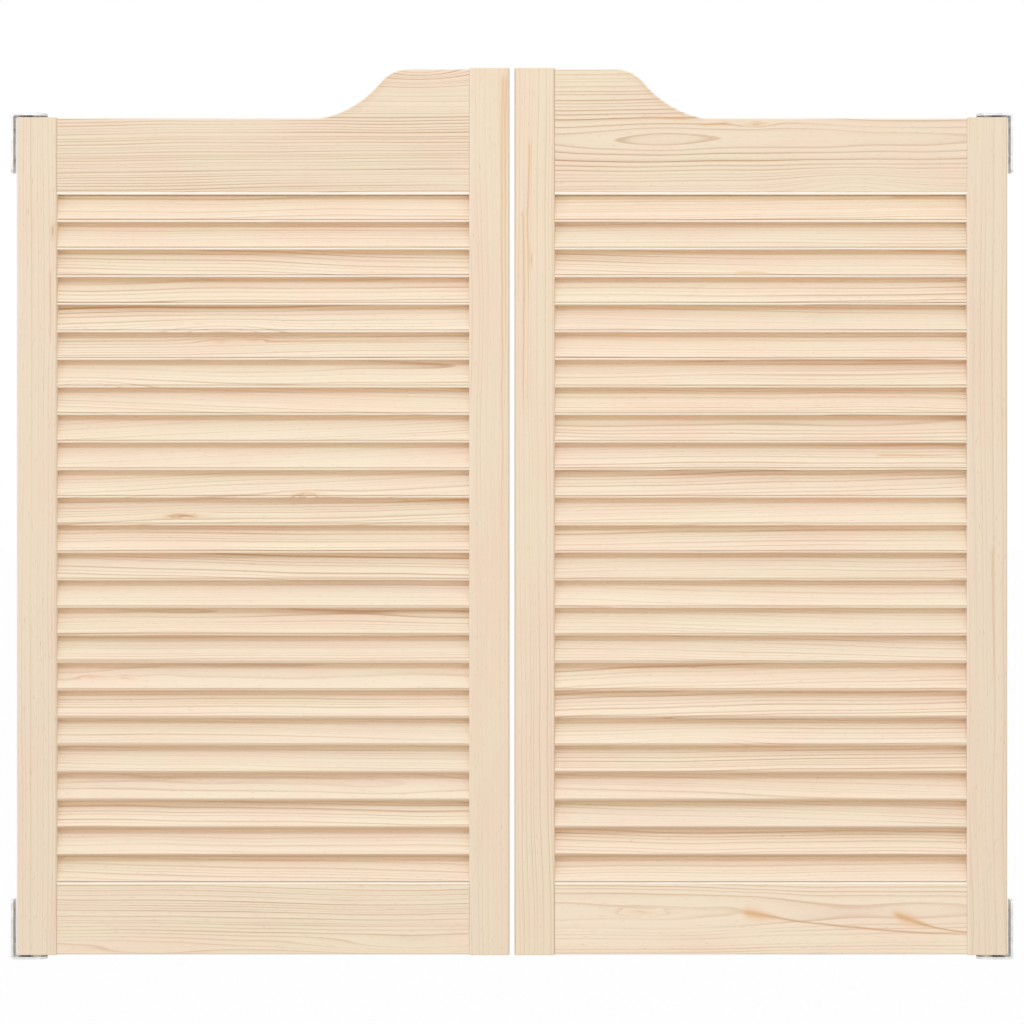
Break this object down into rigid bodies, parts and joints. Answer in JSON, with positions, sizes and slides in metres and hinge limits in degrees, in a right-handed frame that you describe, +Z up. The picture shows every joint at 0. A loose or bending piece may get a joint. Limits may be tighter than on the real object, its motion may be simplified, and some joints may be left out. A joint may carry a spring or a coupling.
{
  "type": "cafe swinging doors",
  "caption": "Pair of louvred pine saloon doors with a curved top, swinging both ways on sprung pivots in slim jamb brackets.",
  "frame": {"origin": "under the middle of the opening, half way through the doors, level with the underside of the bottom brackets", "axes": "+Z up, +X to the right seen from the front, the front of the doors faces -Y"},
  "size_m": [1.017, 0.021, 0.9045],
  "materials": {
    "pine": "sanded",
    "beech": "turned",
    "zinc_steel": "zinc plated",
    "bright_steel": "ground",
    "screw_steel": "zinc plated",
    "spring_steel": "oiled",
    "nylon": "satin"
  },
  "bodies": {
    "jamb_brackets": {"left_bottom_bracket": "zinc_steel", "left_spindle": "bright_steel", "left_top_bracket": "zinc_steel", "left_top_bush": "nylon", "right_bottom_bracket": "zinc_steel", "right_spindle": "bright_steel", "right_top_bracket": "zinc_steel", "right_top_bush": "nylon"},
    "left_leaf": {"left_rail_dowels": "beech", "left_bottom_plate": "zinc_steel", "left_bottom_plate_screws": "screw_steel", "left_pivot_bush": "nylon", "left_spring_barrel": "zinc_steel", "left_barrel_cap": "zinc_steel", "left_torsion_spring": "spring_steel", "left_top_plate": "zinc_steel", "left_top_plate_screws": "screw_steel", "left_top_sleeve": "zinc_steel", "left_pin_spring": "spring_steel", "left_hinge_stile": "pine", "left_meeting_stile": "pine", "left_top_rail": "pine", "left_bottom_rail": "pine", "left_louvres_01_05": "pine", "left_louvres_06_10": "pine", "left_louvres_11_15": "pine", "left_louvres_16_20": "pine", "left_louvres_21_25": "pine"},
    "left_plunger": {"left_top_pivot_pin": "bright_steel"},
    "right_leaf": {"right_rail_dowels": "beech", "right_bottom_plate": "zinc_steel", "right_bottom_plate_screws": "screw_steel", "right_pivot_bush": "nylon", "right_spring_barrel": "zinc_steel", "right_barrel_cap": "zinc_steel", "right_torsion_spring": "spring_steel", "right_top_plate": "zinc_steel", "right_top_plate_screws": "screw_steel", "right_top_sleeve": "zinc_steel", "right_pin_spring": "spring_steel", "right_hinge_stile": "pine", "right_meeting_stile": "pine", "right_top_rail": "pine", "right_bottom_rail": "pine", "right_louvres_01_05": "pine", "right_louvres_06_10": "pine", "right_louvres_11_15": "pine", "right_louvres_16_20": "pine", "right_louvres_21_25": "pine"},
    "right_plunger": {"right_top_pivot_pin": "bright_steel"}
  },
  "joints": [
    {"name": "left_swing", "type": "hinge", "parent": "jamb_brackets", "child": "left_leaf", "pos_m": [-0.482, 0, 0], "axis": [0, 0, 1], "range_deg": [-90, 90], "stiffness_Nm_per_rad": 0.39, "deforming": ["left_torsion_spring"]},
    {"name": "left_pin_slide", "type": "slide", "parent": "left_leaf", "child": "left_plunger", "axis": [0, 0, 1], "range_m": [-0.006, 0], "stiffness_N_per_m": 3400, "deforming": ["left_pin_spring"]},
    {"name": "right_swing", "type": "hinge", "parent": "jamb_brackets", "child": "right_leaf", "pos_m": [0.482, 0, 0], "axis": [0, 0, 1], "range_deg": [-90, 90], "stiffness_Nm_per_rad": 0.39, "deforming": ["right_torsion_spring"]},
    {"name": "right_pin_slide", "type": "slide", "parent": "right_leaf", "child": "right_plunger", "axis": [0, 0, 1], "range_m": [-0.006, 0], "stiffness_N_per_m": 3400, "deforming": ["right_pin_spring"]}
  ]
}
